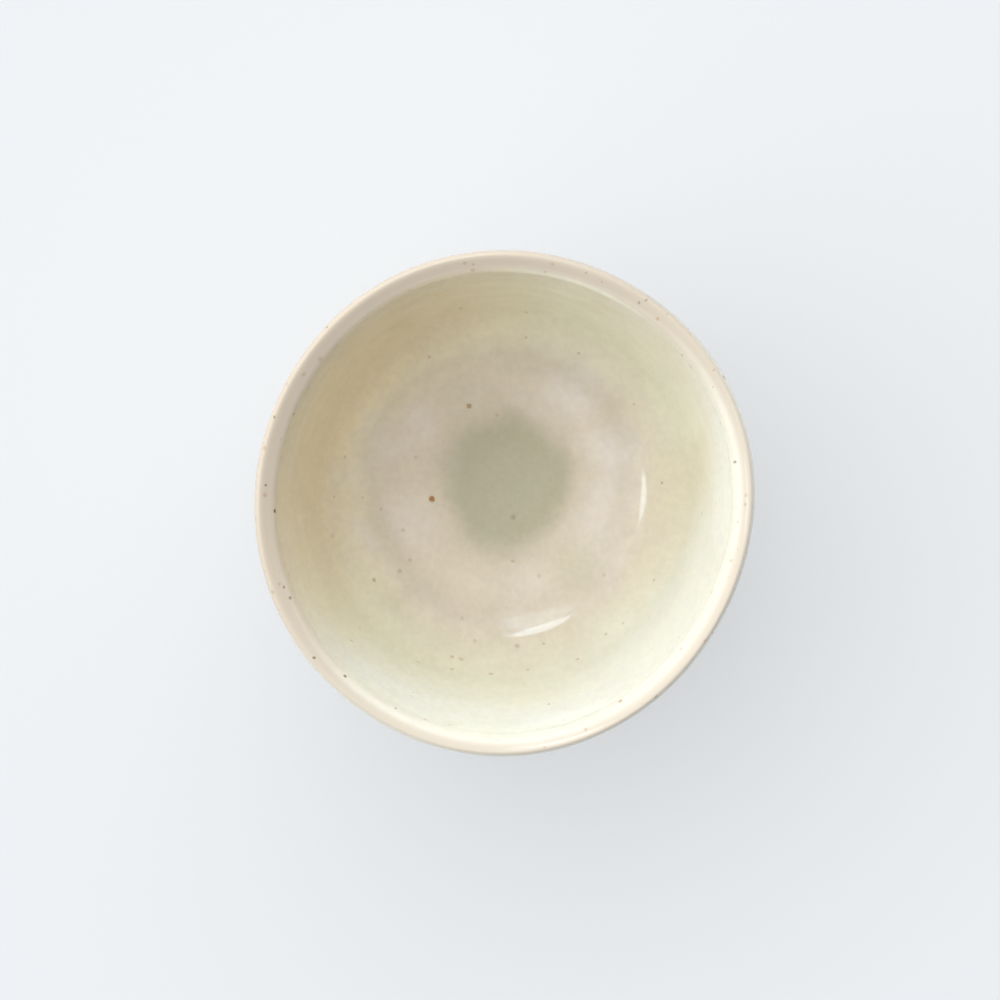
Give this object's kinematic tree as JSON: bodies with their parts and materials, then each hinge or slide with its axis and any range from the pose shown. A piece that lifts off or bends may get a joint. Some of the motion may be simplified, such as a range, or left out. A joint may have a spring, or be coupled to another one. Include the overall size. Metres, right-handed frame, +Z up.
{
  "type": "faceted cup",
  "caption": "Handmade stoneware cup with no handle: a round lip, a wall cut in flat facets outside, a foot ring and a pale glossy glaze that pools in the floor.",
  "frame": {"origin": "middle of the foot ring, on the surface that the cup stands on", "axes": "+Z up along the cup's axis; +X to the right and +Y to the top of the picture, which looks down into the cup"},
  "size_m": [0.0876, 0.0886, 0.074],
  "materials": {
    "stoneware": "bare fired stoneware, buff, with fine iron specks",
    "foot_clay": "bare fired stoneware, turned, worn smooth where it meets the table",
    "inside_glaze": "glossy warm cream glaze, pinkish on the floor and greener on the wall, with iron specks",
    "pool_glaze": "thick glossy grey-green glaze",
    "thin_glaze": "thin glaze over the lip, pinkish where the clay shows through",
    "outside_glaze": "glossy warm cream glaze, thin and pinkish on the ridges"
  },
  "bodies": {
    "root": {"clay_body": "stoneware", "foot_ring": "foot_clay", "liner_glaze": "inside_glaze", "glaze_pool": "pool_glaze", "lip_glaze": "thin_glaze", "outer_glaze": "outside_glaze"}
  },
  "joints": []
}
